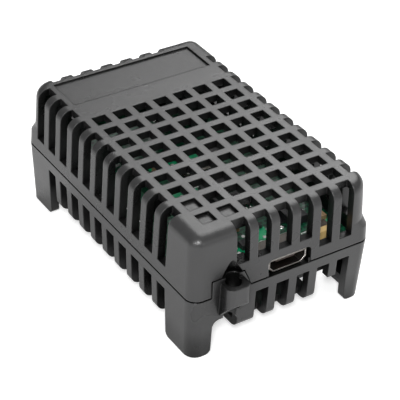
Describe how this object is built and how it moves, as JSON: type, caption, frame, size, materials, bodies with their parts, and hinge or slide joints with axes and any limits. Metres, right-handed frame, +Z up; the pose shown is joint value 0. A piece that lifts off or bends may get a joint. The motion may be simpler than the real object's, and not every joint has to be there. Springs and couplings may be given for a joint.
{
  "type": "rack temperature sensor",
  "caption": "Small vented plastic sensor housing on four corner legs, with a micro USB socket at one end and a screw lug at each end.",
  "frame": {"origin": "centre of the plan, on the plane of the four feet", "axes": "+Z up through the perforated top; the micro USB socket opens towards -Y; X runs across the socket end"},
  "size_m": [0.0358, 0.061, 0.0239],
  "materials": {
    "housing_plastic": "fine moulded texture",
    "board_green": "solder mask",
    "plated_steel": "tin plated",
    "insulator_black": "moulded",
    "contact_gold": "gold plated",
    "chip_black": "moulded",
    "ceramic_brown": "sintered",
    "ceramic_black": "glazed film",
    "tantalum_yellow": "moulded",
    "lens_clear": "clear",
    "screw_steel": "zinc plated"
  },
  "bodies": {
    "root": {"cover": "housing_plastic", "base": "housing_plastic", "circuit_board": "board_green", "usb_socket_shell": "plated_steel", "usb_socket_insulator": "insulator_black", "temperature_sensor": "chip_black", "microcontroller": "chip_black", "voltage_regulator": "chip_black", "surge_protector": "chip_black", "crystal": "plated_steel", "ferrite_bead": "ceramic_brown", "tantalum_capacitor": "tantalum_yellow", "status_led": "lens_clear", "case_screw_front": "screw_steel", "case_screw_back": "screw_steel", "usb_contact_1": "contact_gold", "usb_contact_2": "contact_gold", "usb_contact_3": "contact_gold", "usb_contact_4": "contact_gold", "usb_contact_5": "contact_gold", "capacitor_1": "ceramic_brown", "capacitor_2": "ceramic_brown", "capacitor_3": "ceramic_brown", "capacitor_4": "ceramic_brown", "resistor_1": "ceramic_black", "resistor_2": "ceramic_black", "resistor_3": "ceramic_black", "resistor_4": "ceramic_black"}
  },
  "joints": []
}
